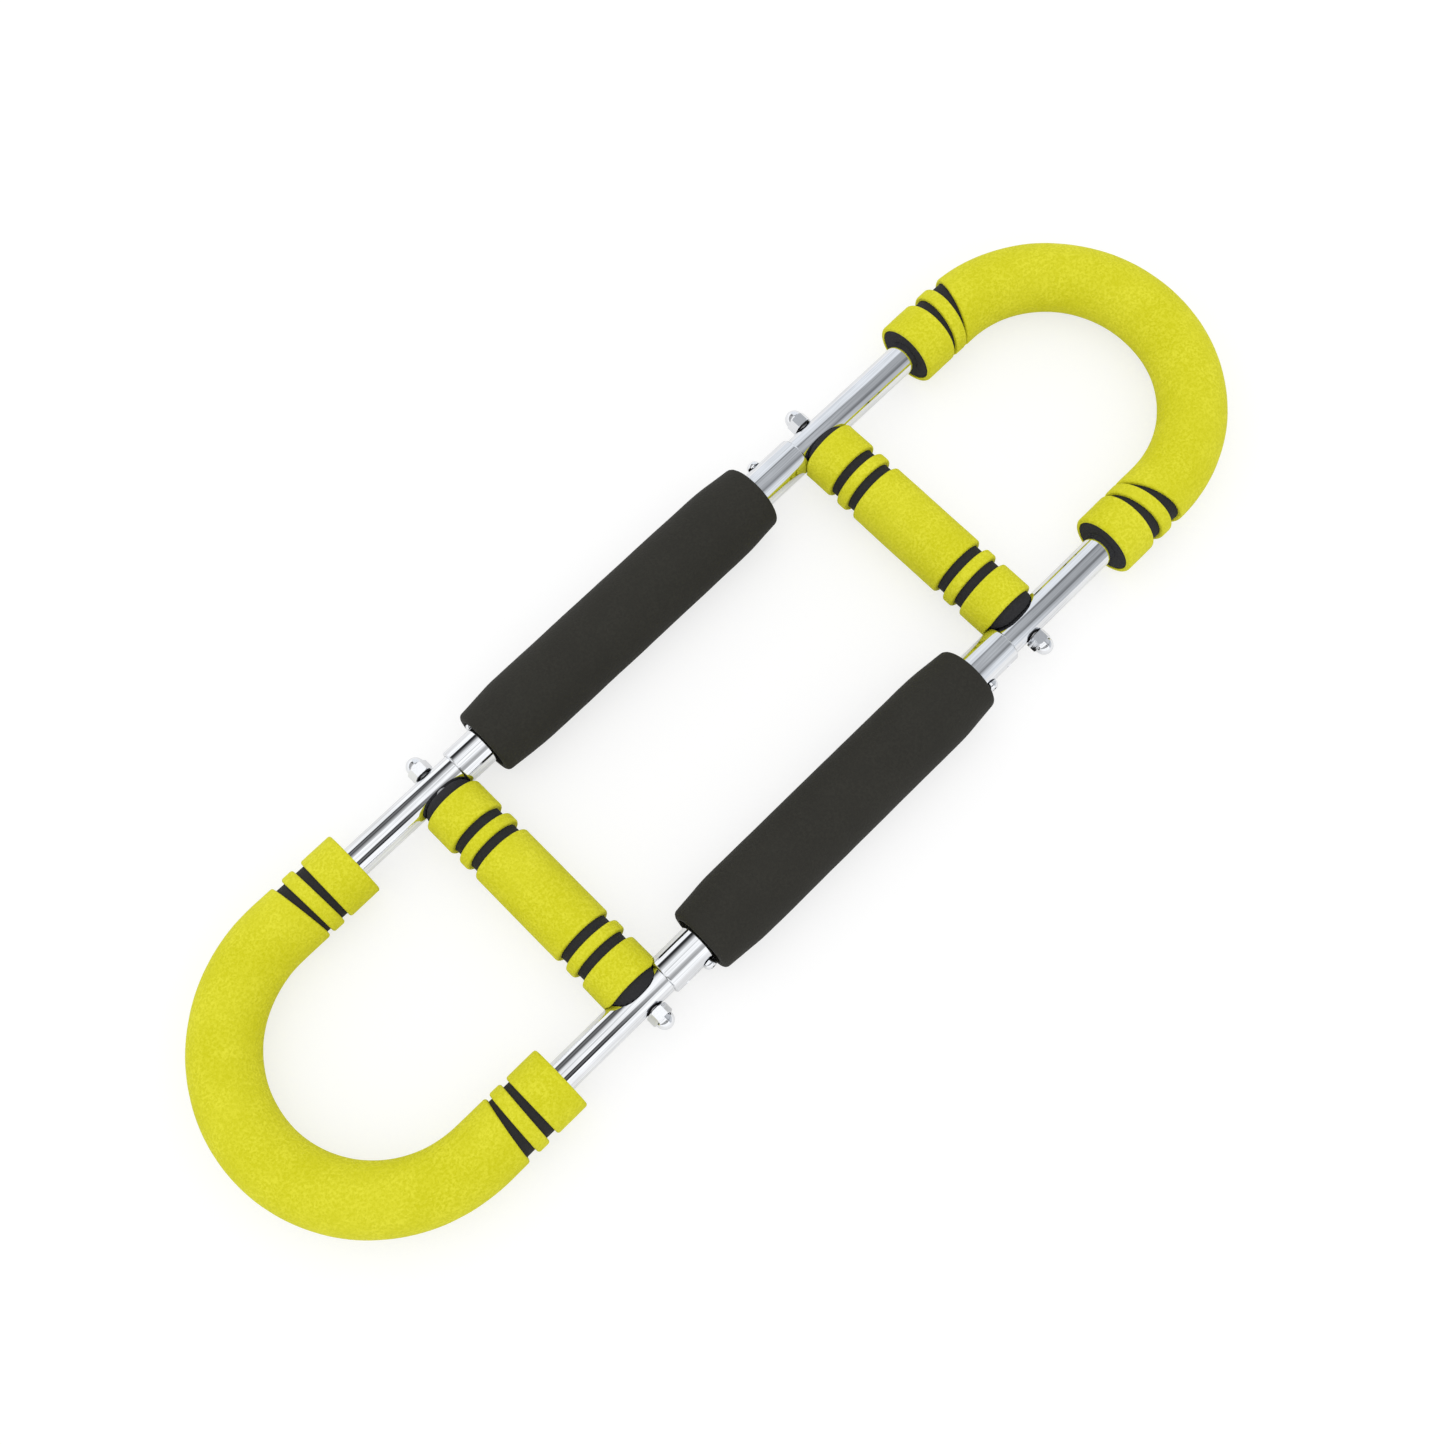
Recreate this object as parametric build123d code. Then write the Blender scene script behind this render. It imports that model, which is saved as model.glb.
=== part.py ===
"""A two-handed bending exerciser: two foam-covered springs joined to a hooped handle at each end.

The bar lies flat on a floor. X runs along it, Y across it and Z up, in millimetres. The origin
is on the floor, under the middle of the bar. Right is +X, left is -X, back is +Y, front is -Y.
"""
from build123d import *
import os
from math import cos, floor, pi, sin, sqrt

# Handle tubes
LEG_SPACING = 140.0  # between the axes of a handle's two legs
LEG_TUBE_OD = 16.0
LEG_TUBE_WALL = 1.5
HOOP_LEG_LENGTH = 99.0  # from the cross bar's axis to the centre of the hoop's bend
LEG_INSERTION = 37.0  # depth of a leg in its socket
CROSS_TUBE_OD = 14.0
CROSS_TUBE_WALL = 1.2

# Sockets that join the legs to the springs
SOCKET_OD = 19.6
SOCKET_LENGTH = 47.0
SOCKET_TO_CROSS_BAR = 13.0  # from a socket's outer end to the cross bar's axis
SOCKET_EDGE_ROUND = 1.0
DIMPLE_DIAMETER = 4.0
DIMPLE_DEPTH = 1.2
DIMPLE_SETBACK = 6.5  # from a socket's outer end

# Springs
SPRING_FREE_SPAN = 136.0  # between the inner ends of two facing sockets
SPRING_GRIP = 12.0  # length of a spring that sits on a socket
SPRING_WIRE = 5.0
COIL_GAP = 0.6  # least gap between turns
MIN_PRINTED_GAP = 0.4

# Black foam sleeves over the springs
SLEEVE_OD = 39.0
SLEEVE_LENGTH = 182.0
SLEEVE_NECK_OD = 35.0  # at its ends, where the foam draws in past the spring
SLEEVE_NECK_LENGTH = 22.0
SLEEVE_NECK_ROUND = 60.0
SLEEVE_END_ROUND = 2.5
BACK_SLEEVE_SHIFT = -6.5  # where each sleeve happens to lie along its spring
FRONT_SLEEVE_SHIFT = -0.5
REST_FLAT_DEPTH = 0.5  # how far the soft sleeves flatten on the floor

# Foam grip on a hoop, from its bend towards the middle of the bar
HOOP_GRIP_OD = 34.5
HOOP_COVER_WALL = 2.2  # of the yellow cover, rings and collars
LEFT_COVER_LEAD = 14.8  # straight stretch of the main cover before its bend
RIGHT_COVER_LEAD = 3.9
RIGHT_GRIP_CREEP = 3.6  # how far the right grip has crept round its hoop, towards the back leg
LEFT_COVER_TILT = 7.7  # degrees that the main cover's ends lean, opening the groove outside the bend
RIGHT_COVER_TILT = 17.0
LEFT_RING_TILT = 2.6  # degrees that the rings lean the same way
RIGHT_RING_TILT = 7.3
HOOP_COVER_GROOVE = 3.6  # between cover and ring, at the tube's axis
HOOP_RING = 7.0
HOOP_COLLAR_GROOVE = 4.1
HOOP_COLLAR = 18.4
HOOP_CORE_ROUND = 0.8

# Foam grip on a cross bar, from its end towards the middle
CROSS_GRIP_OD = 32.4
CROSS_COVER_WALL = 2.45
CROSS_CORE_WRAP = 5.1  # how far the soft core wraps past the near side of a leg
CROSS_CORE_LIP = 6.0  # dark core that shows past a collar
CROSS_COLLAR = 17.2
CROSS_GROOVE = 5.0
CROSS_RING = 6.0
CROSS_CORE_ROUND = 4.5
LEFT_CROSS_CREEP = -2.6  # how far each cross grip has crept along its bar, towards the back leg
RIGHT_CROSS_CREEP = 0.6
COVER_EDGE_ROUND = 1.2

# Stud, cap nuts and washers that clamp a cross bar between its legs
STUD_DIAMETER = 6.0
STUD_END_CHAMFER = 0.6
STUD_ENGAGEMENT = 6.5  # depth of the stud in a cap nut
NUT_ACROSS_FLATS = 10.0
NUT_HEX_HEIGHT = 5.4
NUT_DOME_DIAMETER = 9.4
NUT_NECK = 0.6
NUT_CHAMFER = 0.5
NUT_BLIND_GAP = 1.0  # room past the stud's end
WASHER_DIAMETER = 8.8
WASHER_THICKNESS = 0.4
WASHER_ROUND = 0.15

# Screws that hold the legs in the sockets
SCREW_DIAMETER = 4.0
SCREW_LENGTH = 7.0
SCREW_HEAD_DIAMETER = 7.0
SCREW_HEAD_HEIGHT = 3.2
SCREW_HEAD_ROUND = 2.6
SCREW_SETBACK = 20.0  # from a socket's outer end
RECESS_LENGTH = 3.2
RECESS_WIDTH = 0.9
RECESS_DEPTH = 1.2

# Clearances
SLIP_FIT = 0.15  # leg in socket, foam on tube, cover on core, radially
HOLE_FIT = 0.1  # bolt or screw in its hole, radially
SEAT_FIT = 0.05  # coped seat or washer on a round tube
SPRING_FIT = 0.3  # spring over socket and sleeve over spring, radially and along the bar
FOAM_END_FIT = 0.3  # coped foam end to the leg and socket that it meets
SCREW_HEAD_ROOM = 0.4  # sleeve mouth over a screw head, radially
ROUND_LIMIT = 0.9  # most of a wall that a rounded edge may take
TINY = 1e-6  # for telling places apart

# Places along the bar and across it
LEG_Y = LEG_SPACING / 2
SOCKET_INNER_X = SPRING_FREE_SPAN / 2
SOCKET_OUTER_X = SOCKET_INNER_X + SOCKET_LENGTH
LEG_END_X = SOCKET_OUTER_X - LEG_INSERTION
SCREW_X = SOCKET_OUTER_X - SCREW_SETBACK
DIMPLE_X = SOCKET_OUTER_X - DIMPLE_SETBACK
CROSS_X = SOCKET_OUTER_X + SOCKET_TO_CROSS_BAR
BEND_X = CROSS_X + HOOP_LEG_LENGTH
SPRING_END_X = SOCKET_INNER_X + SPRING_GRIP
AXIS_Z = SLEEVE_OD / 2 - REST_FLAT_DEPTH

# Radii
LEG_R = LEG_TUBE_OD / 2
SOCKET_R = SOCKET_OD / 2
SPRING_BORE_R = SOCKET_R + SPRING_FIT
COIL_R = SPRING_BORE_R + SPRING_WIRE / 2
SLEEVE_BORE_R = SPRING_BORE_R + SPRING_WIRE + SPRING_FIT
SLEEVE_MOUTH_R = SOCKET_R + SCREW_HEAD_HEIGHT + SCREW_HEAD_ROOM
HOOP_COVER_R = HOOP_GRIP_OD / 2
HOOP_COVER_BORE_R = HOOP_COVER_R - HOOP_COVER_WALL
HOOP_CORE_R = HOOP_COVER_BORE_R - SLIP_FIT
CROSS_COVER_R = CROSS_GRIP_OD / 2
CROSS_COVER_BORE_R = CROSS_COVER_R - CROSS_COVER_WALL
CROSS_CORE_R = CROSS_COVER_BORE_R - SLIP_FIT
STUD_HOLE_R = STUD_DIAMETER / 2 + HOLE_FIT
SCREW_HOLE_R = SCREW_DIAMETER / 2 + HOLE_FIT
WASHER_SEAT_Y = LEG_Y + LEG_R + SEAT_FIT
NUT_SEAT_Y = WASHER_SEAT_Y + WASHER_THICKNESS

SIDES = {"left": -1, "right": 1}
LEGS = {"front": -1, "back": 1}
COVER_LEAD = {"left": LEFT_COVER_LEAD, "right": RIGHT_COVER_LEAD}
GRIP_CREEP = {"left": 0.0, "right": RIGHT_GRIP_CREEP}
COVER_TILT = {"left": LEFT_COVER_TILT, "right": RIGHT_COVER_TILT}
RING_TILT = {"left": LEFT_RING_TILT, "right": RIGHT_RING_TILT}
CROSS_CREEP = {"left": LEFT_CROSS_CREEP, "right": RIGHT_CROSS_CREEP}
SLEEVE_SHIFT = {"front": FRONT_SLEEVE_SHIFT, "back": BACK_SLEEVE_SHIFT}


def rod(radius, start, end):
    """A round bar between two points."""
    run = Vector(*end) - Vector(*start)
    return Part(Solid.make_cylinder(radius, run.length, Plane(origin=start, z_dir=run)).wrapped)


def band(start_x, end_x, bore_r, outer_r, edge_round):
    """A tube on the X axis with its two outer edges rounded."""
    wall = outer_r - bore_r
    centre = Pos((start_x + end_x) / 2, bore_r + wall / 2)
    section = centre * Rectangle(abs(end_x - start_x), wall)
    rim = section.vertices().group_by(Axis.Y)[-1]
    limit = ROUND_LIMIT * min(wall, abs(end_x - start_x) / 2)
    return revolve(fillet(rim, min(edge_round, limit)), Axis.X)


def across(shape):
    """Turns a shape made on the X axis to lie on a cross bar's axis."""
    return Pos(CROSS_X, 0, 0) * Rot(0, 0, 90) * shape


def outward(shape, x, seat_y, leg_sign):
    """Stands a shape made upright on a leg's outer side."""
    return Pos(x, leg_sign * seat_y, 0) * Rot(-90 * leg_sign, 0, 0) * shape


def cope(shape):
    """Clears a cross bar's foam round the legs and sockets that it meets."""
    for sign in LEGS.values():
        leg_y = sign * LEG_Y
        mouth_r = SOCKET_R + FOAM_END_FIT
        mouth_x = SOCKET_OUTER_X + FOAM_END_FIT
        shape -= rod(LEG_R + FOAM_END_FIT, (SOCKET_INNER_X, leg_y, 0), (BEND_X, leg_y, 0))
        shape -= rod(mouth_r, (SOCKET_INNER_X, leg_y, 0), (mouth_x, leg_y, 0))
    return shape


def round_ends(shape, edge_round, wall):
    """Rounds the outer rims of a bent tube's flat ends."""
    flats = shape.faces().filter_by(GeomType.PLANE)
    rims = [edge for flat in flats for edge in flat.outer_wire().edges()]
    return fillet(rims, min(edge_round, ROUND_LIMIT * wall))


def hoop_bar(radius, starts):
    """A solid bar bent to a U, each leg starting at its own place along the bar."""
    bend_axis = Axis((BEND_X, 0, 0), (0, 0, 1))
    section = Plane(origin=(BEND_X, -LEG_Y, 0), z_dir=(1, 0, 0)) * Circle(radius)
    bar = revolve(section, bend_axis, revolution_arc=180)
    for leg, sign in LEGS.items():
        bar += rod(radius, (starts[leg], sign * LEG_Y, 0), (BEND_X, sign * LEG_Y, 0))
    return bar


def hoop_tube():
    """Bent tube of one handle, drilled for the stud and the socket screws."""
    starts = dict.fromkeys(LEGS, LEG_END_X)
    tube = hoop_bar(LEG_R, starts) - hoop_bar(LEG_R - LEG_TUBE_WALL, starts)
    reach = LEG_Y + LEG_TUBE_OD
    tube -= rod(STUD_HOLE_R, (CROSS_X, -reach, 0), (CROSS_X, reach, 0))
    for sign in LEGS.values():
        tube -= rod(SCREW_HOLE_R, (SCREW_X, sign * LEG_Y, 0), (SCREW_X, sign * reach, 0))
    return tube


def leaning_cut(x, leg_sign, tilt, way):
    """A block that ends a foam tube on a leg at a leaning face, on its inner (-1) or outer (1) side."""
    block = 2 * HOOP_GRIP_OD
    lean = Pos(x, leg_sign * LEG_Y, 0) * Rot(0, 0, -leg_sign * tilt)
    return lean * Pos(way * block / 2, 0, 0) * Box(block, block, block)


def hoop_cover(side, cover_starts):
    """Yellow main cover of a hoop grip, its ends leaning open towards the outside of the bend."""
    run_in = {leg: min(start, BEND_X) - HOOP_GRIP_OD for leg, start in cover_starts.items()}
    cover = hoop_bar(HOOP_COVER_R, run_in) - hoop_bar(HOOP_COVER_BORE_R, run_in)
    for leg, sign in LEGS.items():
        cover -= leaning_cut(cover_starts[leg], sign, COVER_TILT[side], -1)
    return round_ends(cover, COVER_EDGE_ROUND, HOOP_COVER_WALL)


def hoop_ring(side, leg_sign, ring_x):
    """Narrow yellow ring of a hoop grip, leaning with the cover's end."""
    start = (ring_x - HOOP_COVER_R, leg_sign * LEG_Y, 0)
    end = (ring_x + HOOP_RING + HOOP_COVER_R, leg_sign * LEG_Y, 0)
    ring = rod(HOOP_COVER_R, start, end) - rod(HOOP_COVER_BORE_R, start, end)
    ring -= leaning_cut(ring_x, leg_sign, RING_TILT[side], -1)
    ring -= leaning_cut(ring_x + HOOP_RING, leg_sign, RING_TILT[side], 1)
    return round_ends(ring, COVER_EDGE_ROUND, HOOP_COVER_WALL)


def hoop_grip(side):
    """Dark core and yellow cover, rings and collars of one hoop grip, by name."""
    pieces = {}
    cover_starts = {}
    core_starts = {}
    for leg, sign in LEGS.items():
        cover_x = BEND_X - COVER_LEAD[side] + sign * GRIP_CREEP[side]
        ring_x = cover_x - HOOP_COVER_GROOVE - HOOP_RING
        collar_x = ring_x - HOOP_COLLAR_GROOVE - HOOP_COLLAR
        collar_end_x = collar_x + HOOP_COLLAR
        collar = band(collar_x, collar_end_x, HOOP_COVER_BORE_R, HOOP_COVER_R, COVER_EDGE_ROUND)
        pieces[f"{leg}_hoop_ring"] = hoop_ring(side, sign, ring_x)
        pieces[f"{leg}_hoop_collar"] = Pos(0, sign * LEG_Y, 0) * collar
        cover_starts[leg] = cover_x
        core_starts[leg] = collar_x
    core_bore_r = LEG_R + SLIP_FIT
    core = hoop_bar(HOOP_CORE_R, core_starts) - hoop_bar(core_bore_r, core_starts)
    pieces["hoop_foam_core"] = round_ends(core, HOOP_CORE_ROUND, HOOP_CORE_R - core_bore_r)
    pieces["hoop_grip_cover"] = hoop_cover(side, cover_starts)
    return pieces


def cross_bar(side):
    """Coped cross tube and its foam core, cover, rings and collars, by name."""
    pieces = {}
    tube_r = CROSS_TUBE_OD / 2
    tube = rod(tube_r, (CROSS_X, -LEG_Y, 0), (CROSS_X, LEG_Y, 0))
    tube -= rod(tube_r - CROSS_TUBE_WALL, (CROSS_X, -LEG_Y, 0), (CROSS_X, LEG_Y, 0))
    for sign in LEGS.values():
        leg_y = sign * LEG_Y
        tube -= rod(LEG_R + SEAT_FIT, (CROSS_X - LEG_TUBE_OD, leg_y, 0), (CROSS_X + LEG_TUBE_OD, leg_y, 0))
    pieces["cross_tube"] = tube

    core_end = LEG_Y - LEG_R + CROSS_CORE_WRAP
    collar_end = core_end - CROSS_CORE_LIP
    ring_end = collar_end - CROSS_COLLAR - CROSS_GROOVE
    cover_end = ring_end - CROSS_RING - CROSS_GROOVE
    cover_sizes = CROSS_COVER_BORE_R, CROSS_COVER_R, COVER_EDGE_ROUND
    core = band(-core_end, core_end, tube_r + SLIP_FIT, CROSS_CORE_R, CROSS_CORE_ROUND)
    cover = band(-cover_end, cover_end, *cover_sizes)
    crept = Pos(0, CROSS_CREEP[side], 0)
    pieces["cross_foam_core"] = cope(crept * across(core))
    pieces["cross_grip_cover"] = crept * across(cover)
    for leg, sign in LEGS.items():
        ring_start = sign * (ring_end - CROSS_RING)
        ring = band(ring_start, sign * ring_end, *cover_sizes)
        collar_start = sign * (collar_end - CROSS_COLLAR)
        collar = band(collar_start, sign * collar_end, *cover_sizes)
        pieces[f"{leg}_cross_ring"] = crept * across(ring)
        pieces[f"{leg}_cross_collar"] = cope(crept * across(collar))
    return pieces


def cross_stud():
    """Stud that runs through both legs and the cross tube."""
    end_y = NUT_SEAT_Y + STUD_ENGAGEMENT
    stud = rod(STUD_DIAMETER / 2, (CROSS_X, -end_y, 0), (CROSS_X, end_y, 0))
    return chamfer(stud.edges().filter_by(GeomType.CIRCLE), STUD_END_CHAMFER)


def cap_nut():
    """Domed hexagon nut, upright, with its blind hole open at the bottom."""
    dome_r = NUT_DOME_DIAMETER / 2
    corner_r = NUT_ACROSS_FLATS / sqrt(3)
    hexagon = extrude(RegularPolygon(corner_r, 6), NUT_HEX_HEIGHT)
    turned = Pos(0, 0, NUT_HEX_HEIGHT / 2) * Cylinder(corner_r, NUT_HEX_HEIGHT)
    hexagon &= chamfer(turned.edges().filter_by(GeomType.CIRCLE), NUT_CHAMFER)
    dome_z = NUT_HEX_HEIGHT + NUT_NECK
    dome = rod(dome_r, (0, 0, NUT_HEX_HEIGHT - NUT_CHAMFER), (0, 0, dome_z))
    dome += Pos(0, 0, dome_z) * Sphere(dome_r)
    hole = rod(STUD_HOLE_R, (0, 0, 0), (0, 0, STUD_ENGAGEMENT + NUT_BLIND_GAP))
    return hexagon + dome - hole


def nut_washer():
    """Thin flat washer, upright."""
    return band(0, WASHER_THICKNESS, STUD_HOLE_R, WASHER_DIAMETER / 2, WASHER_ROUND).rotate(Axis.Y, -90)


def socket_screw():
    """Round-headed screw with a cross recess, upright, its head's seat at the origin."""
    head = Pos(0, 0, SCREW_HEAD_HEIGHT / 2) * Cylinder(SCREW_HEAD_DIAMETER / 2, SCREW_HEAD_HEIGHT)
    rim = head.edges().filter_by(GeomType.CIRCLE).sort_by(Axis.Z)[-1]
    limit = ROUND_LIMIT * min(SCREW_HEAD_HEIGHT, SCREW_HEAD_DIAMETER / 2)
    head = fillet(rim, min(SCREW_HEAD_ROUND, limit))
    recess_z = SCREW_HEAD_HEIGHT - RECESS_DEPTH / 2
    for turn in (0, 90):
        head -= Pos(0, 0, recess_z) * Rot(0, 0, turn) * Box(RECESS_LENGTH, RECESS_WIDTH, RECESS_DEPTH)
    return head + rod(SCREW_DIAMETER / 2, (0, 0, -SCREW_LENGTH), (0, 0, 0))


def socket(leg_sign):
    """Larger tube over a leg's end, with a rounded mouth, a screw hole and a punched dimple."""
    tube = band(SOCKET_INNER_X, SOCKET_OUTER_X, LEG_R + SLIP_FIT, SOCKET_R, SOCKET_EDGE_ROUND)
    tube = Pos(0, leg_sign * LEG_Y, 0) * tube
    outer_y = leg_sign * (LEG_Y + SOCKET_R)
    tube -= rod(SCREW_HOLE_R, (SCREW_X, leg_sign * LEG_Y, 0), (SCREW_X, 2 * outer_y, 0))
    punch_r = (DIMPLE_DIAMETER**2 / 4 + DIMPLE_DEPTH**2) / (2 * DIMPLE_DEPTH)
    punch_y = outer_y + leg_sign * (punch_r - DIMPLE_DEPTH)
    return tube - Pos(DIMPLE_X, punch_y, 0) * Sphere(punch_r)


def coil_point(turn, pitch, start_x):
    """Place and heading of the wire's middle after a number of turns."""
    angle = 2 * pi * turn
    place = Vector(start_x + pitch * turn, COIL_R * cos(angle), COIL_R * sin(angle))
    heading = Vector(pitch / (2 * pi), -COIL_R * sin(angle), COIL_R * cos(angle)).normalized()
    return place, heading


def biarc(start, start_heading, end, end_heading):
    """Two arcs that join two places and headings smoothly."""
    chord = end - start
    both = chord.dot(start_heading + end_heading)
    bend = 2 * (1 - start_heading.dot(end_heading))
    reach = (sqrt(both**2 + bend * chord.dot(chord)) - both) / bend
    middle = (start + end + (start_heading - end_heading) * reach) * 0.5
    middle_heading = (end - end_heading * reach) - (start + start_heading * reach)
    first = Edge.make_tangent_arc(start, start_heading, middle)
    return [first, Edge.make_tangent_arc(middle, middle_heading, end)]


def spring():
    """Close-wound spring along the X axis, one unbroken wire."""
    run = 2 * SPRING_END_X - SPRING_WIRE
    half_turns = floor(2 * run / (SPRING_WIRE + COIL_GAP))
    pitch = 2 * run / half_turns
    start_x = -run / 2
    stops = [coil_point(n / 2, pitch, start_x) for n in range(half_turns + 1)]
    path = []
    for (start, start_heading), (end, end_heading) in zip(stops, stops[1:]):
        path += biarc(start, start_heading, end, end_heading)
    report_coil_gap(path, half_turns)
    section = Plane(origin=stops[0][0], z_dir=stops[0][1]) * Circle(SPRING_WIRE / 2)
    return sweep(section, path=Wire(path))


def report_coil_gap(path, half_turns):
    """Prints the least gap between neighbouring turns, measured on points of the wire."""
    steps = 12
    points = [edge.position_at(step / steps) for edge in path for step in range(steps)]
    turn = 4 * steps
    nearest = min(
        (points[i] - points[j]).length
        for i in range(len(points))
        for j in range(i + turn // 2, min(i + 2 * turn, len(points)))
    )
    gap = nearest - SPRING_WIRE
    print(f"spring: {half_turns / 2} turns, least gap {gap:.2f} mm, wanted over {MIN_PRINTED_GAP}")


def spring_sleeve(leg):
    """Black foam sleeve round a spring, drawn in at its mouths and flattened where it rests."""
    shift = SLEEVE_SHIFT[leg]
    start_x, end_x = shift - SLEEVE_LENGTH / 2, shift + SLEEVE_LENGTH / 2
    outer_r = SLEEVE_OD / 2
    neck_r = SLEEVE_NECK_OD / 2
    outline = Polyline(
        (start_x, SLEEVE_MOUTH_R),
        (start_x, neck_r),
        (start_x + SLEEVE_NECK_LENGTH, outer_r),
        (end_x - SLEEVE_NECK_LENGTH, outer_r),
        (end_x, neck_r),
        (end_x, SLEEVE_MOUTH_R),
        close=True,
    )
    section = make_face(outline)
    section = fillet(section.vertices().group_by(Axis.Y)[-1], SLEEVE_NECK_ROUND)
    necks = [point for point in section.vertices() if abs(point.Y - neck_r) < TINY]
    limit = ROUND_LIMIT * (neck_r - SLEEVE_MOUTH_R)
    foam = revolve(fillet(necks, min(SLEEVE_END_ROUND, limit)), Axis.X)
    pocket_x = SPRING_END_X + SPRING_FIT
    foam -= rod(SLEEVE_BORE_R, (-pocket_x, 0, 0), (pocket_x, 0, 0))
    floor_cut = Pos(0, 0, -AXIS_Z - SLEEVE_OD / 2) * Box(2 * SLEEVE_LENGTH, 2 * SLEEVE_OD, SLEEVE_OD)
    return Pos(0, LEGS[leg] * LEG_Y, 0) * (foam - floor_cut)


def handle(side):
    """Every piece of one handle, made at the right-hand end, by name."""
    pieces = {"hoop_tube": hoop_tube(), "cross_stud": cross_stud()}
    pieces.update(hoop_grip(side))
    pieces.update(cross_bar(side))
    nuts = [outward(cap_nut(), CROSS_X, NUT_SEAT_Y, sign) for sign in LEGS.values()]
    washers = [outward(nut_washer(), CROSS_X, WASHER_SEAT_Y, sign) for sign in LEGS.values()]
    screws = [outward(socket_screw(), SCREW_X, LEG_Y + SOCKET_R, sign) for sign in LEGS.values()]
    pieces["cap_nuts"] = Compound(nuts)
    pieces["nut_washers"] = Compound(washers)
    pieces["socket_screws"] = Compound(screws)
    for leg, sign in LEGS.items():
        pieces[f"{leg}_socket"] = socket(sign)
    return pieces


def assembly():
    """Every piece of the exerciser in its place, by name."""
    pieces = {}
    for side, sign in SIDES.items():
        for name, shape in handle(side).items():
            pieces[f"{side}_{name}"] = shape if sign > 0 else mirror(shape, Plane.YZ)
    coil = spring()
    for leg, sign in LEGS.items():
        pieces[f"{leg}_spring"] = Pos(0, sign * LEG_Y, 0) * coil
        pieces[f"{leg}_spring_sleeve"] = spring_sleeve(leg)
    return {name: Pos(0, 0, AXIS_Z) * shape for name, shape in pieces.items()}


os.makedirs("parts", exist_ok=True)
for node, shape in assembly().items():
    export_step(shape, f"parts/{node}.step")
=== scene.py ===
"""Dresses the bending exerciser: foam, springs, metal finishes and a white studio."""
import math

import bpy
import numpy as np
from bpy.props import FloatProperty, FloatVectorProperty, PointerProperty
from mathutils import Matrix, Vector, noise


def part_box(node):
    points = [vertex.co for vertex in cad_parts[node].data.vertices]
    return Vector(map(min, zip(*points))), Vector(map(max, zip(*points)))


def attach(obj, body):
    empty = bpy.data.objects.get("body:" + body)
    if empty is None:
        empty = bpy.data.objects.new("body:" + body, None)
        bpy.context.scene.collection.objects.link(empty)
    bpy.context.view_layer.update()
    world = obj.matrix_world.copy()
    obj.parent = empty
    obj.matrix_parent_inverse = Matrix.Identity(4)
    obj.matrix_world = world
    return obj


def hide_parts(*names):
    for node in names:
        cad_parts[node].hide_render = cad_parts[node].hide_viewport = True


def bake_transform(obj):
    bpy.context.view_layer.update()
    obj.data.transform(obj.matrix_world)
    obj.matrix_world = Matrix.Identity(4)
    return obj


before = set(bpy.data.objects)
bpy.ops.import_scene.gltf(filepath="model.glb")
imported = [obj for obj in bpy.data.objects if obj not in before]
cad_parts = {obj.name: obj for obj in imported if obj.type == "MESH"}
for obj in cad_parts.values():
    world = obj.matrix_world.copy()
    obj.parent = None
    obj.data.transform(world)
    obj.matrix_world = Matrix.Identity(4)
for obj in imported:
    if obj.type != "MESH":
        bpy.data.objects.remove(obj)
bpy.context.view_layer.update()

bl_info = {
    "name": "Bending Exerciser",
    "version": (1, 0, 0),
    "blender": (4, 5, 0),
    "location": "3D View > Sidebar > Exerciser",
    "description": "Foam, springs, finishes and studio for a two-handed bending exerciser",
    "category": "Object",
}

SIDES = {"left": -1, "right": 1}
LEGS = {"front": -1, "back": 1}
MM = 0.001
WHITE = (1.0, 1.0, 1.0)

# Sizes and places read from the frame
TUBE_LOW, TUBE_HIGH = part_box("right_hoop_tube")
LEG_R = (TUBE_HIGH.z - TUBE_LOW.z) / 2
LEG_Y = TUBE_HIGH.y - LEG_R
AXIS_Z = (TUBE_HIGH.z + TUBE_LOW.z) / 2
BEND_X = TUBE_HIGH.x - LEG_R - LEG_Y
QUARTER_BEND = LEG_Y * math.pi / 2
SOCKET_LOW, SOCKET_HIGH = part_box("right_back_socket")
SOCKET_OUTER_X = SOCKET_HIGH.x
SOCKET_R = (SOCKET_HIGH.z - SOCKET_LOW.z) / 2
CROSS_LOW, CROSS_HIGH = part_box("right_cross_grip_cover")
CROSS_X = (CROSS_HIGH.x + CROSS_LOW.x) / 2
CROSS_BORE_R = (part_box("right_cross_tube")[1].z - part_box("right_cross_tube")[0].z) / 2

# Fits and roundings of the foam
COVER_FIT = 0.15 * MM  # between a cover and the core under it
TUBE_FIT = 0.1 * MM  # between a core and its tube
SPRING_FIT = 0.3 * MM  # between a spring's end and its sleeve
COPE_FIT = 0.3 * MM  # between a cross grip's end and its leg
COPE_ROUND = 0.8 * MM  # where a cross grip's end meets its leg
CORE_RIM = 0.8 * MM  # at a hoop core's ends
MOUTH_RIM = 2.5 * MM  # at a sleeve's ends
NECK_ROUND = 4 * MM  # where a sleeve's neck starts

# Steps of the meshes
RING_TURNS = 96  # points round a foam piece
RIM_ANGLES = [math.radians(degrees) for degrees in (0, 22, 45, 68, 90)]
FACE_SHARES = [step / 10 for step in range(1, 10)]  # rings between a bore and a rim
COVER_STEP = 2.6 * MM  # along a hoop's cover
CORE_STEP = 1.4 * MM  # along a hoop's core
BAND_STEP = 1.6 * MM  # along a ring, a collar or a cross grip
SLEEVE_STEP = 2 * MM  # along a sleeve
BORE_STEP = 4 * MM  # along a sleeve's bore
COIL_STEPS = 24  # rings to a turn of a spring
WIRE_SPOKES = 10  # points round a spring's wire
SHARP_EDGE = math.radians(48)  # an edge that turns further isn't smoothed

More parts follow.
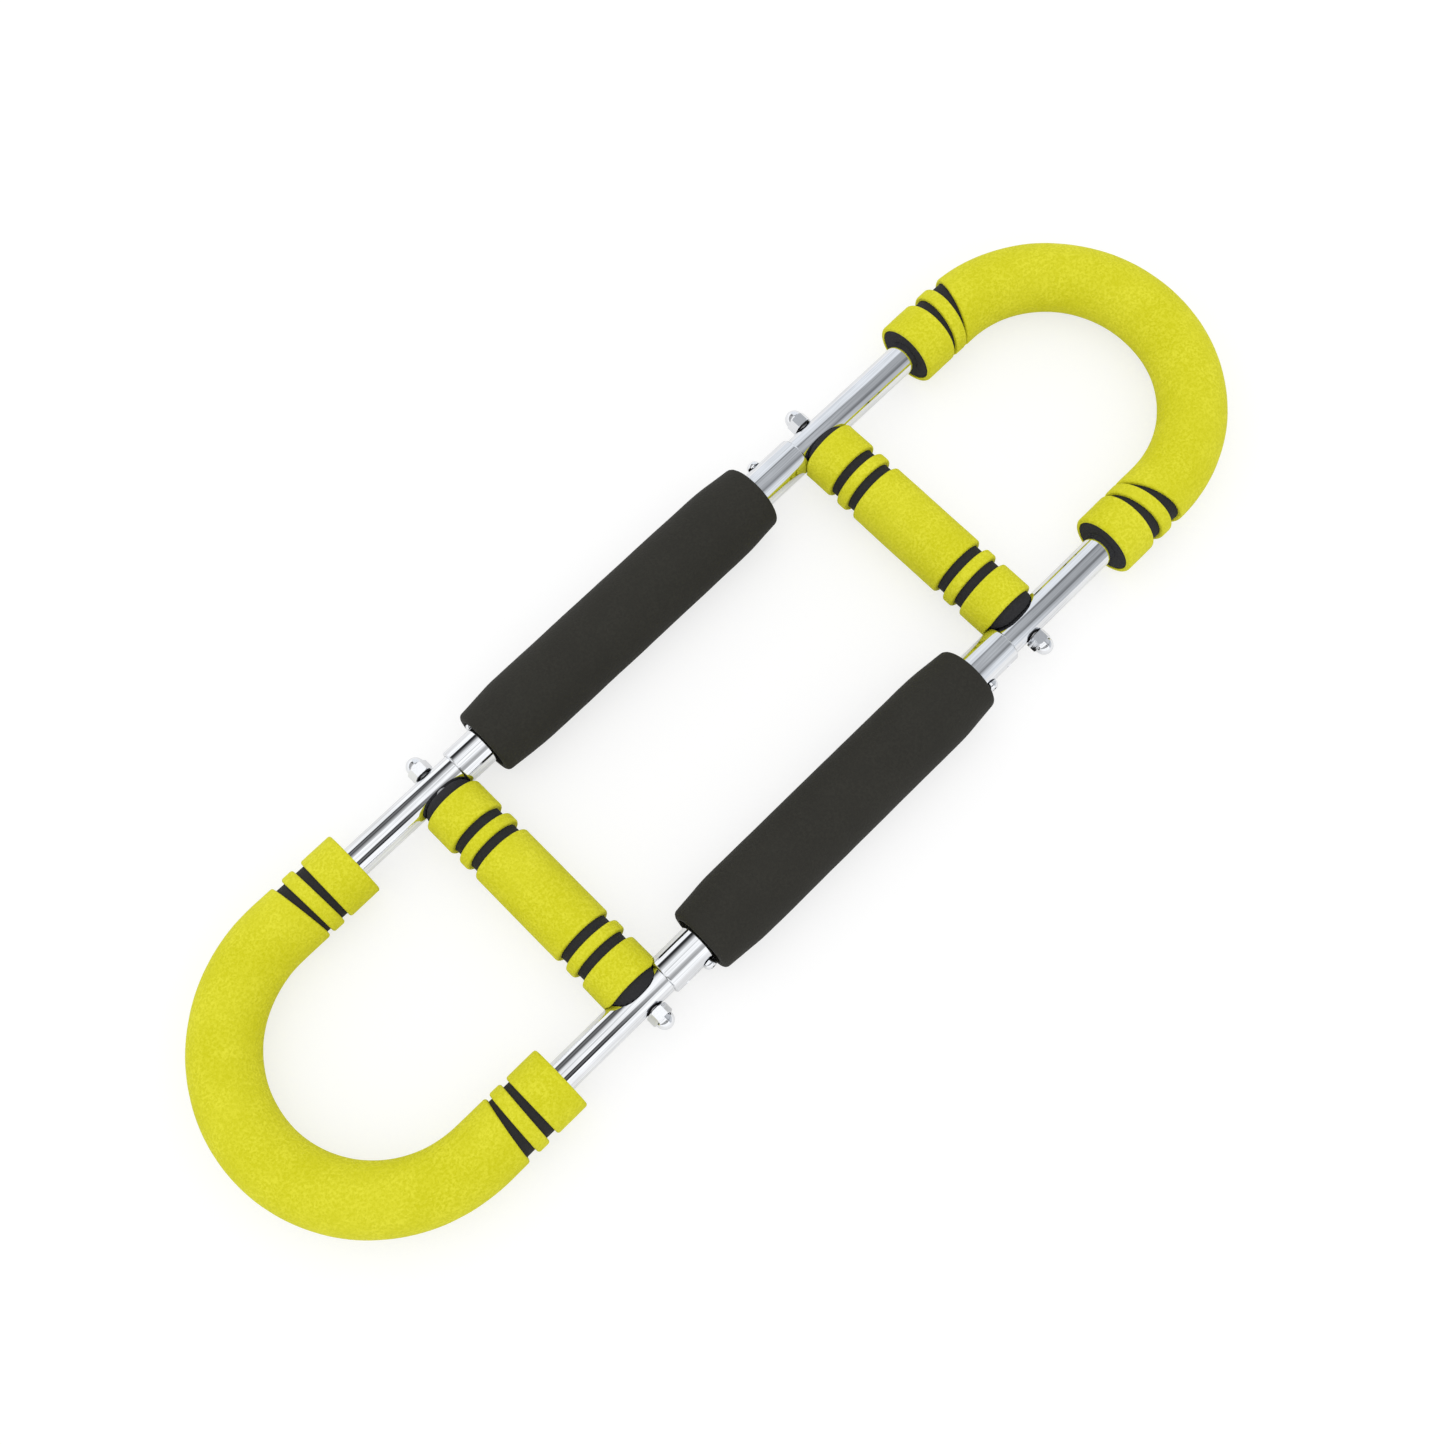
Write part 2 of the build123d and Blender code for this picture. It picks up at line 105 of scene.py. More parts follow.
# Lumps of the foam's wandering skin
SLOW_LUMP = 26 * MM
QUICK_LUMP = 7 * MM
QUICK_SHARE = 0.4


def half_height(node):
    """Half of a node's height, which is its radius where it is round."""
    low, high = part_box(node)
    return (high.z - low.z) / 2


class FoamSizes(bpy.types.PropertyGroup):
    """Sizes and colours of the foam."""

    yellow: FloatVectorProperty(
        name="Yellow", description="Colour of the grip covers", subtype="COLOR",
        default=(0.60, 0.585, 0.004),
    )
    # Lighter yellow of the skin's lumps: grain in the foam, and also painted sheen
    yellow_grain_and_sheen: FloatVectorProperty(
        name="Light yellow", description="Colour of the lumps in the covers' skin", subtype="COLOR",
        default=(0.785, 0.762, 0.044),
    )
    core: FloatVectorProperty(
        name="Core", description="Colour of the dark foam under the covers", subtype="COLOR",
        default=(0.024, 0.024, 0.026),
    )
    core_light: FloatVectorProperty(
        name="Light core", description="Colour of the lumps in the dark foam", subtype="COLOR",
        default=(0.034, 0.034, 0.036),
    )
    sleeve: FloatVectorProperty(
        name="Sleeve", description="Colour of the spring sleeves", subtype="COLOR",
        default=(0.027, 0.026, 0.022),
    )
    sleeve_light: FloatVectorProperty(
        name="Light sleeve", description="Colour of the lumps in the sleeves' skin",
        subtype="COLOR", default=(0.037, 0.036, 0.030),
    )
    grain: FloatProperty(
        name="Grain", description="Size of the grain in the foam's skin", unit="LENGTH",
        default=1.35 * MM,
    )
    rim: FloatProperty(
        name="Rim", description="Rounding of the covers' rims", unit="LENGTH",
        default=1.3 * MM,
    )
    wander: FloatProperty(
        name="Wander", description="How far the skin wanders from round", unit="LENGTH",
        default=0.16 * MM,
    )
    ring_width: FloatProperty(
        name="Ring width", description="Width of a hoop's narrow ring", unit="LENGTH",
        default=7.0 * MM,
    )
    cover_groove: FloatProperty(
        name="Cover groove", description="Groove between a hoop's cover and its ring",
        unit="LENGTH", default=3.6 * MM,
    )
    left_cover_lean: FloatProperty(
        name="Left cover lean", description="Lean of the left cover's ends", subtype="ANGLE",
        default=math.radians(7.7),
    )
    right_cover_lean: FloatProperty(
        name="Right cover lean", description="Lean of the right cover's ends", subtype="ANGLE",
        default=math.radians(17),
    )
    left_ring_lean: FloatProperty(
        name="Left ring lean", description="Lean of the left hoop's rings", subtype="ANGLE",
        default=math.radians(2.6),
    )
    right_ring_lean: FloatProperty(
        name="Right ring lean", description="Lean of the right hoop's rings", subtype="ANGLE",
        default=math.radians(7.3),
    )
    core_round: FloatProperty(
        name="Core round", description="Rounding of a cross core's ends", unit="LENGTH",
        default=4.5 * MM,
    )
    core_tuck: FloatProperty(
        name="Core tuck", description="How far a leg presses the right cross core's back end in",
        unit="LENGTH", default=2.0 * MM,
    )
    neck_length: FloatProperty(
        name="Neck length", description="Length over which a sleeve draws in", unit="LENGTH",
        default=22 * MM,
    )
    neck_radius: FloatProperty(
        name="Neck radius", description="Radius of a sleeve at its ends", unit="LENGTH",
        default=17.5 * MM,
    )
    mouth_radius: FloatProperty(
        name="Mouth radius", description="Radius of a sleeve's mouth", unit="LENGTH",
        default=13.4 * MM,
    )
    sleeve_wall: FloatProperty(
        name="Sleeve wall", description="Thickness of a sleeve over its spring", unit="LENGTH",
        default=4.1 * MM,
    )
    bend_length: FloatProperty(
        name="Bend length", description="Length of a sleeve that bends at a hinge", unit="LENGTH",
        default=48 * MM,
    )


class MetalSizes(bpy.types.PropertyGroup):
    """Sizes and colours of the metal pieces."""

    chrome: FloatVectorProperty(
        name="Chrome", description="Colour of the plated tubes", subtype="COLOR",
        default=(0.83, 0.84, 0.86),
    )
    fastener: FloatVectorProperty(
        name="Fastener", description="Colour of the plated nuts and screws", subtype="COLOR",
        default=(0.86, 0.87, 0.89),
    )
    steel: FloatVectorProperty(
        name="Steel", description="Colour of the bare steel inside", subtype="COLOR",
        default=(0.50, 0.50, 0.51),
    )
    spring: FloatVectorProperty(
        name="Spring", description="Colour of the oiled spring wire", subtype="COLOR",
        default=(0.22, 0.22, 0.23),
    )
    # Near-black of the nuts' washers, which also paints the shade in the gap between a nut and its
    # leg
    washer_and_gap_shade: FloatVectorProperty(
        name="Washer", description="Colour of the nuts' washers", subtype="COLOR",
        default=(0.012, 0.012, 0.013),
    )
    polish_line: FloatProperty(
        name="Polish line", description="Width of the polishing lines along a tube", unit="LENGTH",
        default=0.7 * MM,
    )
    spring_wire: FloatProperty(
        name="Spring wire", description="Thickness of the spring wire", unit="LENGTH",
        default=5 * MM,
    )
    spring_turns: FloatProperty(name="Spring turns", description="Turns of a spring", default=27.5)


class StudioSizes(bpy.types.PropertyGroup):
    """Camera, floor and light."""

    camera_place: FloatVectorProperty(
        name="Camera", description="Where the camera stands", subtype="TRANSLATION",
        default=(-0.2003, -0.1973, 0.9046),
    )
    camera_look: FloatVectorProperty(
        name="Look", description="Where the camera points", subtype="DIRECTION",
        default=(0.20599, 0.21009, -0.95574),
    )
    camera_up: FloatVectorProperty(
        name="Up", description="The top of the picture", subtype="DIRECTION",
        default=(0.67473, 0.67689, 0.29422),
    )
    camera_angle: FloatProperty(
        name="Angle of view", description="Angle across the picture", subtype="ANGLE",
        default=math.radians(40.8),
    )
    floor: FloatVectorProperty(
        name="Floor", description="Colour of the floor", subtype="COLOR",
        default=(0.86, 0.86, 0.86),
    )
    floor_glow: FloatProperty(
        name="Floor glow", description="Glow that keeps the floor white to the camera",
        default=0.68,
    )
    floor_shade: FloatProperty(
        name="Floor shade", description="Share of the floor's shading that the camera sees",
        default=0.42,
    )
    floor_mirrored: FloatProperty(
        name="Mirrored floor", description="Share of the white floor that metal mirrors",
        default=0.5,
    )
    sky: FloatProperty(
        name="Sky", description="Strength of the light from all round", default=0.98,
    )
    lamp: FloatProperty(
        name="Lamp", description="Power of the soft lamp", unit="POWER", default=3.0,
    )
    lamp_size: FloatProperty(
        name="Lamp size", description="Width of the soft lamp", unit="LENGTH", default=2.4,
    )
    lamp_place: FloatVectorProperty(
        name="Lamp place", description="Where the soft lamp hangs", subtype="TRANSLATION",
        default=(-0.7, 0.5, 1.9),
    )


def foam_sizes():
    """The foam's sizes and colours as they are set."""
    return bpy.context.scene.exerciser_foam


def metal_sizes():
    """The metal's sizes and colours as they are set."""
    return bpy.context.scene.exerciser_metal


def studio_sizes():
    """The studio's settings as they are set."""
    return bpy.context.scene.exerciser_studio


class Wire:
    """A shader value. Sums on it add Math nodes."""

    def __init__(self, graph, socket):
        self.graph = graph
        self.socket = socket

    def sum(self, operation, first, second):
        """A Math node of two values."""
        return self.graph.node("ShaderNodeMath", {"operation": operation}, {0: first, 1: second})

    def __add__(self, other):
        return self.sum("ADD", self, other)

    def __radd__(self, other):
        return self.sum("ADD", other, self)

    def __sub__(self, other):
        return self.sum("SUBTRACT", self, other)

    def __rsub__(self, other):
        return self.sum("SUBTRACT", other, self)

    def __mul__(self, other):
        return self.sum("MULTIPLY", self, other)

    def __rmul__(self, other):
        return self.sum("MULTIPLY", other, self)

    def larger(self, other):
        """The larger of two values."""
        return self.sum("MAXIMUM", self, other)


class Graph:
    """The nodes of one material or of the world."""

    def __init__(self, tree):
        tree.nodes.clear()
        self.tree = tree

    def node(self, kind, settings=None, inputs=None, output=0):
        """Adds a node, sets it, then fills its sockets with numbers, colours or wires."""
        made = self.tree.nodes.new(kind)
        for name, value in (settings or {}).items():
            setattr(made, name, value)
        for socket, value in (inputs or {}).items():
            if isinstance(value, Wire):
                self.tree.links.new(value.socket, made.inputs[socket])
            else:
                made.inputs[socket].default_value = value
        return Wire(self, made.outputs[output]) if made.outputs else None

    def place(self):
        """Place on the piece, in metres of the frame."""
        return self.node("ShaderNodeTexCoord", output="Object")

    def vectors(self, operation, first, second):
        """A Vector Math node of two vectors."""
        return self.node("ShaderNodeVectorMath", {"operation": operation}, {0: first, 1: second})

    def stretched(self, place, scale):
        """A place scaled along X, Y and Z."""
        return self.vectors("MULTIPLY", place, scale)

    def grain(self, place, size, detail=2.0, roughness=0.5):
        """Soft noise from 0 to 1 with lumps of a size in metres."""
        inputs = {"Vector": place, "Scale": 1 / size, "Detail": detail, "Roughness": roughness}
        return self.node("ShaderNodeTexNoise", None, inputs)

    def warped(self, place, size, far):
        """A place pushed about by soft lumps of a size, as far as a length."""
        inputs = {"Vector": place, "Scale": 1 / size, "Detail": 1.0}
        push = self.node("ShaderNodeTexNoise", None, inputs, output="Color")
        push = self.vectors("SUBTRACT", push, (0.5, 0.5, 0.5))
        push = self.stretched(push, (2 * far, 2 * far, 2 * far))
        return self.vectors("ADD", place, push)

    def ease(self, value, low, high):
        """Rises smoothly from 0 at low to 1 at high."""
        inputs = {"Value": value, "From Min": low, "From Max": high}
        return self.node("ShaderNodeMapRange", {"interpolation_type": "SMOOTHSTEP"}, inputs)

    def tint(self, share, first, second):
        """A colour between two colours."""
        settings = {"data_type": "RGBA"}
        return self.node("ShaderNodeMix", settings, {0: share, 6: first, 7: second}, output=2)

    def bump(self, height, depth):
        """A normal from a height of 0 to 1 and its depth in metres."""
        return self.node("ShaderNodeBump", None, {"Height": height, "Distance": depth})

    def ray(self, kind):
        """One for light of a kind, zero for other light."""
        return self.node("ShaderNodeLightPath", output=f"Is {kind} Ray")

    def finish(self, shader, output="ShaderNodeOutputMaterial"):
        """Ends the graph in its output."""
        self.node(output, None, {"Surface": shader})


def shade(colour, factor=1.0):
    """A colour with full alpha, as it is or made lighter or darker."""
    return (*(min(1.0, channel * factor) for channel in colour), 1.0)


def new_finish(name):
    """An empty material and its graph."""
    material = bpy.data.materials.new(name)
    if material.name != name:
        raise RuntimeError(f"another material is called {name}")
    material.use_nodes = True
    return material, Graph(material.node_tree)


def foam_finish(name, colour, grain_and_sheen_colour, depth, roughness):
    """Matte foam: a leathery skin of small soft lumps, stronger in patches, with fine specks."""
    material, graph = new_finish(name)
    grain = foam_sizes().grain
    place = graph.place()
    uneven = graph.warped(place, 1.4 * grain, 0.4 * grain)
    tone = graph.ease(graph.grain(place, 24 * grain, detail=1.0), 0.3, 0.7)
    patchy = graph.ease(graph.grain(place, 9 * grain, detail=1.0), 0.3, 0.7)
    lumps = graph.ease(graph.grain(uneven, grain, detail=1.0), 0.32, 0.70)
    specks = graph.ease(graph.grain(place, 0.45 * grain, detail=1.0), 0.34, 0.66)
    # Lumps and specks tint towards the lighter colour: grain in the foam, and in the yellow skin
    # also painted sheen
    share = 0.08 + 0.18 * tone + lumps * (0.36 + 0.30 * patchy) + 0.22 * specks
    shader = graph.node("ShaderNodeBsdfPrincipled", None, {
        "Base Color": graph.tint(share, shade(colour), shade(grain_and_sheen_colour)),
        "Roughness": roughness + 0.12 * lumps,
        "Specular IOR Level": 0.12,
        "Normal": graph.bump(0.75 * lumps + 0.25 * specks, depth),
    })
    graph.finish(shader)
    return material


def chrome_finish(name, colour, along, roughness, uneven):
    """Bright plate with faint smears and, along tubes, fine polishing lines."""
    material, graph = new_finish(name)
    place = graph.place()
    smears = graph.grain(place, 18 * MM)
    specks = graph.ease(graph.grain(place, 1.2 * MM, detail=3.0, roughness=0.7), 0.55, 0.8)
    lines = graph.grain(graph.stretched(place, along), metal_sizes().polish_line, roughness=0.6)
    streaks = graph.ease(0.3 * smears + 0.7 * lines, 0.35, 0.65)
    base = graph.tint(streaks, shade(colour, 1 - uneven), shade(colour, 1 + 0.7 * uneven))
    shader = graph.node("ShaderNodeBsdfPrincipled", None, {
        "Base Color": base,
        "Metallic": 1.0,
        "Roughness": roughness + 0.02 * smears + 0.02 * lines + 0.03 * specks,
        "Normal": graph.bump(lines, 0.006 * MM),
    })
    graph.finish(shader)
    return material


def steel_finish(name, colour, roughness):
    """Bare or oiled steel with drawn lines and stains."""
    material, graph = new_finish(name)
    place = graph.place()
    stains = graph.grain(place, 6 * MM, detail=3.0)
    scratches = graph.grain(place, 0.5 * MM)
    base = graph.tint(stains, shade(colour, 0.75), shade(colour, 1.15))
    shader = graph.node("ShaderNodeBsdfPrincipled", None, {
        "Base Color": base,
        "Metallic": 1.0,
        "Roughness": roughness + 0.2 * stains,
        "Normal": graph.bump(scratches, 0.01 * MM),
    })
    graph.finish(shader)
    return material


def washer_and_gap_shade_finish():
    """Black moulded plastic with a fine texture; its black also paints the shade in the gap between
    a nut and its leg.
    """
    material, graph = new_finish("washer_black_gap_shade")
    colour = metal_sizes().washer_and_gap_shade
    texture = graph.grain(graph.place(), 0.4 * MM)
    shader = graph.node("ShaderNodeBsdfPrincipled", None, {
        "Base Color": graph.tint(texture, shade(colour, 0.8), shade(colour, 1.3)),
        "Roughness": 0.45 + 0.15 * texture,
        "Normal": graph.bump(texture, 0.02 * MM),
    })
    graph.finish(shader)
    return material


def mesh_piece(name, rings, loop):
    """A smooth closed mesh through rings of points, joined end to end or capped."""
    count = len(rings[0])
    points = [point for ring in rings for point in ring]
    faces = []
    last = len(rings) if loop else len(rings) - 1
    for row in range(last):
        here, there = row * count, (row + 1) % len(rings) * count
        for i in range(count):
            j = (i + 1) % count
            faces.append((here + i, here + j, there + j, there + i))
    if not loop:
        faces.append(tuple(range(count)))
        faces.append(tuple(reversed(range(len(points) - count, len(points)))))
    mesh = bpy.data.meshes.new(name)
    mesh.from_pydata(points, [], faces)
    turn_outward(mesh)
    mesh.shade_smooth()
    mesh.set_sharp_from_angle(angle=SHARP_EDGE)
    piece = bpy.data.objects.new(name, mesh)
    bpy.context.scene.collection.objects.link(piece)
    return piece


def turn_outward(mesh):
    """Turns the faces of a closed mesh outward, where they face in."""
    mesh.update()
    volume = 0.0
    for face in mesh.polygons:
        volume += face.area * face.normal.dot(face.center)
    if volume < 0:
        mesh.flip_normals()


def hoop_line(side):
    """Points of a hoop grip by distance from its crown, radius and turn from its outside."""
    sign = SIDES[side]

    def point(along, radius, turn):
        reach = radius * math.cos(turn)
        z = AXIS_Z + radius * math.sin(turn)
        past_bend = abs(along) - QUARTER_BEND
        if past_bend > 0:
            return Vector((sign * (BEND_X - past_bend), math.copysign(LEG_Y + reach, along), z))
        angle = along / LEG_Y
        away = LEG_Y + reach
        return Vector((sign * (BEND_X + away * math.cos(angle)), away * math.sin(angle), z))

    return point


def soft_start(value, round_off):
    """Nothing below zero, the value itself well above it, and a smooth turn between."""
    return (value + math.sqrt(value**2 + round_off**2)) / 2


def cope_reach(x, z):
    """How far foam on a cross bar may go before it meets a leg or a socket."""
    bar_r = SOCKET_R if abs(x) < SOCKET_OUTER_X + COPE_FIT else LEG_R
    bar_r += COPE_FIT
    height = abs(z - AXIS_Z)
    return LEG_Y - math.sqrt(bar_r**2 - height**2) if height < bar_r else LEG_Y


def cross_line(side):
    """Points of a cross grip by distance from its middle, radius and turn, coped at its ends."""
    sign = SIDES[side]

    def point(along, radius, turn):
        x = sign * (CROSS_X + radius * math.cos(turn))
        z = AXIS_Z + radius * math.sin(turn)
        reach = cope_reach(x, z)
        reach -= soft_start(reach - abs(along), COPE_ROUND)
        return Vector((x, math.copysign(reach, along), z))

    return point


def sleeve_line(leg):
    """Points of a spring sleeve by place along the bar, radius and turn, flat on the floor."""
    sign = LEGS[leg]

    def point(along, radius, turn):
        y = sign * (LEG_Y + radius * math.cos(turn))
        return Vector((along, y, max(AXIS_Z + radius * math.sin(turn), 0.0)))

    return point


def straight_edge(along):
    """An end square to its tube."""
    return lambda turn: along


def leaning_edge(leg, x, radius, lean):
    """A hoop grip's end at a place along its leg, leaning towards the crown on its outside."""
    sign = LEGS[leg]

    def along(turn):
        towards_crown = radius * math.tan(lean) * math.cos(turn)
        return sign * (QUARTER_BEND + BEND_X - x - towards_crown)

    return along


def band_outline(length, bore_r, outer_r, rim, step):
    """A foam tube's wall as share of its length, offset, radius and whether it is skin."""
    face_r = outer_r - rim
    face = [bore_r + (face_r - bore_r) * share for share in FACE_SHARES]
    outline = [(0.0, 0.0, radius, False) for radius in face]
    for angle in RIM_ANGLES:
        outline.append((0.0, rim - rim * math.cos(angle), face_r + rim * math.sin(angle), True))
    count = max(2, round((length - 2 * rim) / step))
    for i in range(1, count):
        share = i / count
        outline.append((share, rim * (1 - 2 * share), outer_r, True))
    for angle in reversed(RIM_ANGLES):
        outline.append((1.0, rim * math.cos(angle) - rim, face_r + rim * math.sin(angle), True))
    outline += [(1.0, 0.0, radius, False) for radius in reversed(face)]
    bore_step = 3 * step
    count = max(2, round(length / bore_step))
    for i in range(count + 1):
        outline.append((1.0 - i / count, 0.0, bore_r, False))
    return outline


def wander(seed):
    """How far the skin stands off round at a point, in slow and quick lumps that a seed picks."""
    far = foam_sizes().wander
    start = Vector((seed, 0, 0))

    def swell(point):
        slow = noise.noise(start + point / SLOW_LUMP)
        quick = noise.noise(start + point / QUICK_LUMP)
        return far * (slow + QUICK_SHARE * quick)

    return swell


def foam_piece(name, line, start, end, outline, swell):
    """A foam tube between two ends, along a line, with a wandering skin."""
    turns = [2 * math.pi * i / RING_TURNS for i in range(RING_TURNS)]
    ends = [(start(turn), end(turn)) for turn in turns]
    rings = []
    for share, offset, radius, is_skin in outline:
        ring = []
        for turn, (first, last) in zip(turns, ends):
            along = first + (last - first) * share + math.copysign(1, last - first) * offset
            r = radius
            if is_skin:
                r += swell(line(along, radius, turn))
            ring.append(line(along, r, turn))
        rings.append(ring)
    return mesh_piece(name, rings, loop=True)


def settle(piece, material, body, node):
    """Gives a foam piece its finish and body, and hides the node that it stands for."""
    piece.data.materials.append(material)
    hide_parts(node)
    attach(piece, body)


def bend_with_handle(piece, node):
    """Hides the node of a sleeve or spring and bakes a half's place into its mesh."""
    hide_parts(node)
    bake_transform(piece)


def leg_span(node):
    """Where a node of a leg starts and ends along the bar, counted outwards."""
    low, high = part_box(node)
    return sorted((abs(low.x), abs(high.x)))


class GripPlan:
    """Radii and places of one hoop's foam, read from its nodes."""

    def __init__(self, side):
        foam = foam_sizes()
        self.side = side
        self.line = hoop_line(side)
        self.outer_r = half_height(f"{side}_back_hoop_ring")
        self.core_r = half_height(f"{side}_hoop_foam_core")
        self.bore_r = self.core_r + COVER_FIT
        is_right = side == "right"
        self.cover_lean = foam.right_cover_lean if is_right else foam.left_cover_lean
        self.ring_lean = foam.right_ring_lean if is_right else foam.left_ring_lean
        self.collars = {leg: leg_span(f"{side}_{leg}_hoop_collar") for leg in LEGS}
        self.rings = {}
        for leg in LEGS:
            middle = sum(leg_span(f"{side}_{leg}_hoop_ring")) / 2
            self.rings[leg] = middle - foam.ring_width / 2, middle + foam.ring_width / 2
        self.cover_x = {leg: self.rings[leg][1] + foam.cover_groove for leg in LEGS}

    def edge(self, leg, x, lean=0.0):
        """An end of a foam piece on a leg."""
        return leaning_edge(leg, x, self.outer_r, lean)

    def outline(self, length, step):
        """Wall of a cover, ring or collar."""
        return band_outline(length, self.bore_r, self.outer_r, foam_sizes().rim, step)


class EXERCISER_OT_hoop_covers(bpy.types.Operator):
    """Yellow main covers round the bends of the hoops"""

    bl_idname = "exerciser.hoop_covers"
    bl_label = "Hoop covers"

    def execute(self, context):
        for side in SIDES:
            plan = GripPlan(side)
            start, end = (plan.edge(leg, plan.cover_x[leg], plan.cover_lean) for leg in LEGS)
            length = abs(end(0) - start(0))
            outline = plan.outline(length, COVER_STEP)
            name = f"{side}_hoop_cover"
            piece = foam_piece(name, plan.line, start, end, outline, wander(SIDES[side]))
            material = bpy.data.materials["yellow_skin"]
            settle(piece, material, f"{side}_handle", f"{side}_hoop_grip_cover")
        return {"FINISHED"}


class EXERCISER_OT_hoop_bands(bpy.types.Operator):
    """Yellow rings and end collars on the hoops' legs"""

    bl_idname = "exerciser.hoop_bands"
    bl_label = "Hoop rings and collars"

    def execute(self, context):
        for side in SIDES:
            plan = GripPlan(side)
            for leg in LEGS:
                near, far = plan.collars[leg]
                ends = plan.edge(leg, near), plan.edge(leg, far)
                self.add(plan, leg, "collar", ends, far - near)
                near, far = plan.rings[leg]
                ends = plan.edge(leg, near, plan.ring_lean), plan.edge(leg, far, plan.ring_lean)
                self.add(plan, leg, "ring", ends, far - near)
        return {"FINISHED"}

    @staticmethod
    def add(plan, leg, kind, ends, length):
        """Adds one ring or collar between its two ends."""
        node = f"{plan.side}_{leg}_hoop_{kind}"
        seed = SIDES[plan.side] + 3 * LEGS[leg]
        outline = plan.outline(length, BAND_STEP)
        piece = foam_piece(f"{node}_foam", plan.line, *ends, outline, wander(seed))
        material = bpy.data.materials["yellow_skin"]
        settle(piece, material, f"{plan.side}_handle", node)


class EXERCISER_OT_hoop_cores(bpy.types.Operator):
    """Dark foam under the hoops' covers, seen in the grooves and at the ends"""

    bl_idname = "exerciser.hoop_cores"
    bl_label = "Hoop cores"

    def execute(self, context):
        for side in SIDES:
            plan = GripPlan(side)
            start, end = (plan.edge(leg, plan.collars[leg][0]) for leg in LEGS)
            length = abs(end(0) - start(0))
            outline = band_outline(length, LEG_R + TUBE_FIT, plan.core_r, CORE_RIM, CORE_STEP)
            piece = foam_piece(f"{side}_hoop_core", plan.line, start, end, outline, wander(9))
            material = bpy.data.materials["core_skin"]
            settle(piece, material, f"{side}_handle", f"{side}_hoop_foam_core")
        return {"FINISHED"}


class EXERCISER_OT_cross_grips(bpy.types.Operator):
    """Yellow covers, rings and collars and the dark cores of the cross grips"""

    bl_idname = "exerciser.cross_grips"
    bl_label = "Cross grips"

    def execute(self, context):
        kinds = ["cross_grip_cover"]
        for leg in LEGS:
            kinds += [f"{leg}_cross_ring", f"{leg}_cross_collar"]
        foam = foam_sizes()
        for side in SIDES:
            bore_r = half_height(f"{side}_cross_foam_core") + COVER_FIT
            for seed, kind in enumerate(kinds):
                self.add(side, kind, bore_r, foam.rim, "yellow_foam", "yellow_skin", seed)
            bore_r, kind = CROSS_BORE_R + TUBE_FIT, "cross_foam_core"
            self.add(side, kind, bore_r, foam.core_round, "dark_foam_core", "core_skin", seed=7)
        return {"FINISHED"}

    @staticmethod
    def add(side, kind, bore_r, rim, slot, finish, seed):
        """Adds one foam piece of a cross grip."""
        node = f"{side}_{kind}"
        low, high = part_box(node)
        back_y = high.y - foam_sizes().core_tuck if node == "right_cross_foam_core" else high.y
        outer_r = half_height(node)
        outline = band_outline(back_y - low.y, bore_r, outer_r, rim, BAND_STEP)
        ends = straight_edge(low.y), straight_edge(back_y)
        piece = foam_piece(f"{node}_foam", cross_line(side), *ends, outline, wander(20 + seed))
        settle(piece, bpy.data.materials[finish], f"{side}_handle", node)


class EXERCISER_OT_sleeves(bpy.types.Operator):
    """Black foam sleeves over the springs, each in two halves"""

    bl_idname = "exerciser.sleeves"
    bl_label = "Spring sleeves"

    def execute(self, context):
        for leg in LEGS:
            node = f"{leg}_spring_sleeve"
            low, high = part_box(node)
            pocket_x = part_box(f"{leg}_spring")[1].x + SPRING_FIT
            for side, end_x in (("left", low.x), ("right", high.x)):
                outline = self.outline((high.y - low.y) / 2, abs(end_x), pocket_x)
                ends = straight_edge(0.0), straight_edge(end_x)
                name = f"{leg}_sleeve_{side}_half"
                piece = foam_piece(name, sleeve_line(leg), *ends, outline, wander(40 + LEGS[leg]))
                piece.data.materials.append(bpy.data.materials["sleeve_skin"])
                bend_with_handle(piece, node)
        return {"FINISHED"}

    @staticmethod
    def outline(outer_r, length, pocket_x):
        """Wall of half a sleeve, from its middle to its mouth and back through the bore."""
        foam = foam_sizes()
        bore_r = outer_r - foam.sleeve_wall
        neck_x = length - foam.neck_length
        rim_x = length - MOUTH_RIM
        outline = []
        count = round(rim_x / SLEEVE_STEP)
        slope = (outer_r - foam.neck_radius) / foam.neck_length
        for i in range(count + 1):
            x = rim_x * i / count
            drawn_in = slope * soft_start(x - neck_x, NECK_ROUND)
            outline.append((0.0, x, outer_r - drawn_in, True))
        rim_r = outline[-1][2] - MOUTH_RIM
        for angle in reversed(RIM_ANGLES[:-1]):
            x = rim_x + MOUTH_RIM * math.cos(angle)
            outline.append((0.0, x, rim_r + MOUTH_RIM * math.sin(angle), True))
        mouth_r = foam.mouth_radius
        corners = [(length, mouth_r), (pocket_x, mouth_r), (pocket_x, bore_r), (0.0, bore_r)]
        for (from_x, from_r), (to_x, to_r) in zip(corners, corners[1:]):
            count = max(1, round(abs(to_x - from_x) / BORE_STEP))
            for i in range(count):
                share = i / count
                x = from_x + (to_x - from_x) * share
                r = from_r + (to_r - from_r) * share
                outline.append((0.0, x, r, False))
        outline.append((0.0, 0.0, bore_r, False))
        return outline


